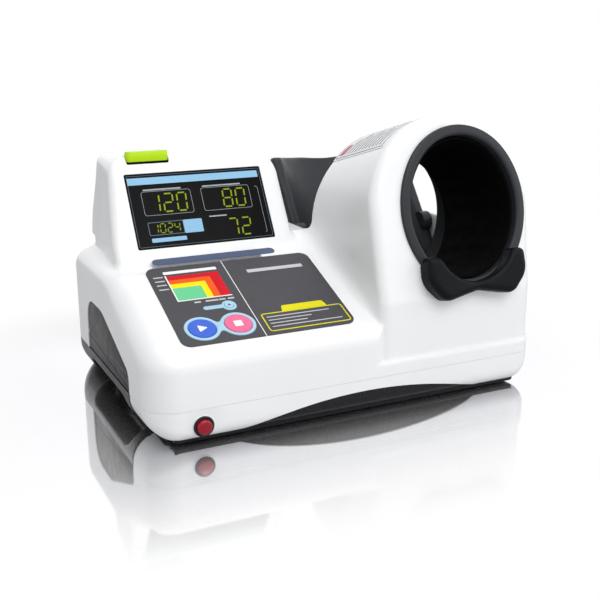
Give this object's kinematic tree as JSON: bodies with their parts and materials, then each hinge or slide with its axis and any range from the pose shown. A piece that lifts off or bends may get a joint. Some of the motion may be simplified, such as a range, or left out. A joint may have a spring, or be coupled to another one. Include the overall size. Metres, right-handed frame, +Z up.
{
  "type": "arm-in blood pressure monitor",
  "caption": "Desk-top arm-in blood pressure monitor with a display tower, a sloping key deck, a printer and a powered cuff tunnel with an elbow rest.",
  "frame": {"origin": "centre of the bounding box in plan, on the surface that the feet stand on", "axes": "+X to the right seen from the front, +Y to the back along the arm tunnel, +Z up"},
  "size_m": [0.528, 0.4022, 0.3502],
  "materials": {
    "casing_white": "moulded white plastic, satin to semi-gloss",
    "label_white": "white printed or plain plastic",
    "base_black": "glossy near-black plastic",
    "trim_dark": "dark grey matt plastic",
    "screen_glass": "dark display window",
    "board_green": "circuit board",
    "title_slate": "slate blue strip",
    "panel_grey": "grey printed panel",
    "surround_blue": "light blue button surround",
    "key_blue": "blue button",
    "key_pink": "pink button",
    "stop_red": "red button",
    "key_lime": "lime green key",
    "ring_grey": "dark grey satin plastic",
    "rubber_black": "black rubber",
    "paper_white": "thermal paper",
    "metal_steel": "steel",
    "bladder_grey": "rubberised bladder",
    "fabric_black": "black cuff cloth",
    "pad_grey": "dark arm pad, semi-gloss",
    "gear_ivory": "moulded gear",
    "motor_dark": "dark motor housing",
    "hose_clear": "silicone air hose"
  },
  "bodies": {
    "machine": {"base_tray": "base_black", "front_bumper": "casing_white", "upper_casing": "casing_white", "left_side_cover": "trim_dark", "right_side_cover": "trim_dark", "rear_panel": "trim_dark", "display_window": "screen_glass", "display_frame": "trim_dark", "display_board": "board_green", "title_strip": "title_slate", "key_panel": "panel_grey", "guide_panel": "panel_grey", "button_surround": "surround_blue", "key_board": "board_green", "emergency_collar": "ring_grey", "emergency_switch": "trim_dark", "printer_frame": "trim_dark", "roll_spindle": "metal_steel", "entry_ring": "ring_grey", "rear_ring": "ring_grey", "cuff_drum": "casing_white", "air_bladder": "bladder_grey", "cuff_sleeve": "fabric_black", "arm_pad": "pad_grey", "guide_plate": "label_white", "elbow_switch": "trim_dark", "drive_bracket": "metal_steel", "wrap_motor": "motor_dark", "cuff_strap": "fabric_black", "air_pump": "metal_steel", "pump_bracket": "trim_dark", "exhaust_valves": "metal_steel", "air_hose": "hose_clear", "main_board": "board_green", "power_supply": "metal_steel", "loudspeaker": "motor_dark", "power_inlet": "base_black", "switch_frame": "base_black", "data_port": "metal_steel", "rubber_feet": "rubber_black", "casing_screws": "metal_steel"},
    "start": {"start_button": "key_blue"},
    "stop": {"stop_button": "key_pink"},
    "feed": {"feed_button": "label_white"},
    "emergency": {"emergency_button": "stop_red"},
    "release": {"lid_release": "key_lime"},
    "lid": {"printer_lid": "casing_white"},
    "platen": {"platen_roller": "rubber_black"},
    "roll": {"paper_roll": "paper_white"},
    "elbow": {"elbow_rest": "ring_grey", "elbow_pivot_pins": "metal_steel"},
    "spool": {"strap_spool": "metal_steel", "spool_gear": "gear_ivory"},
    "pinion": {"motor_pinion": "metal_steel"},
    "rocker": {"power_rocker": "base_black"}
  },
  "joints": [
    {"name": "start_press", "type": "slide", "parent": "machine", "child": "start", "axis": [0, 0.3714, -0.9285], "range_m": [0, 0.001], "stiffness_N_per_m": 800, "springref_m": -0.001},
    {"name": "stop_press", "type": "slide", "parent": "machine", "child": "stop", "axis": [0, 0.3714, -0.9285], "range_m": [0, 0.001], "stiffness_N_per_m": 800, "springref_m": -0.001},
    {"name": "feed_press", "type": "slide", "parent": "machine", "child": "feed", "axis": [0, 0.3714, -0.9285], "range_m": [0, 0.001], "stiffness_N_per_m": 800, "springref_m": -0.001},
    {"name": "emergency_press", "type": "slide", "parent": "machine", "child": "emergency", "axis": [0, 1, 0], "range_m": [0, 0.0035], "stiffness_N_per_m": 600, "springref_m": -0.002},
    {"name": "lid_release_press", "type": "slide", "parent": "machine", "child": "release", "axis": [0, -0.0698, -0.9976], "range_m": [0, 0.002], "stiffness_N_per_m": 600, "springref_m": -0.001},
    {"name": "printer_lid_hinge", "type": "hinge", "parent": "machine", "child": "lid", "pos_m": [-0.17, 0.14779, 0.28457], "axis": [-1, 0, 0], "range_deg": [0, 70]},
    {"name": "paper_turn", "type": "hinge", "parent": "machine", "child": "roll", "pos_m": [-0.17, 0.12602, 0.26003], "axis": [1, 0, 0], "continuous": true},
    {"name": "platen_turn", "type": "hinge", "parent": "machine", "child": "platen", "pos_m": [-0.17, 0.09343, 0.28136], "axis": [1, 0, 0], "continuous": true},
    {"name": "spool_turn", "type": "hinge", "parent": "machine", "child": "spool", "pos_m": [0.1, -0.09192, 0.042], "axis": [0, 1, 0], "continuous": true},
    {"name": "pinion_turn", "type": "hinge", "parent": "machine", "child": "pinion", "pos_m": [0.136, -0.06092, 0.042], "axis": [0, 1, 0], "continuous": true},
    {"name": "elbow_swing", "type": "hinge", "parent": "machine", "child": "elbow", "pos_m": [0.13975, 0.06708, 0.174], "axis": [-1, 0, 0], "range_deg": [0, 1.3], "stiffness_Nm_per_rad": 12, "springref_deg": -3.44},
    {"name": "power_rock", "type": "hinge", "parent": "machine", "child": "rocker", "pos_m": [-0.113, 0.19208, 0.088], "axis": [-1, 0, 0], "range_deg": [0, 16]}
  ],
  "couplings": [
    {"joint": "platen_turn", "follows": "paper_turn", "ratio": 3.6667},
    {"joint": "pinion_turn", "follows": "spool_turn", "ratio": -3}
  ]
}
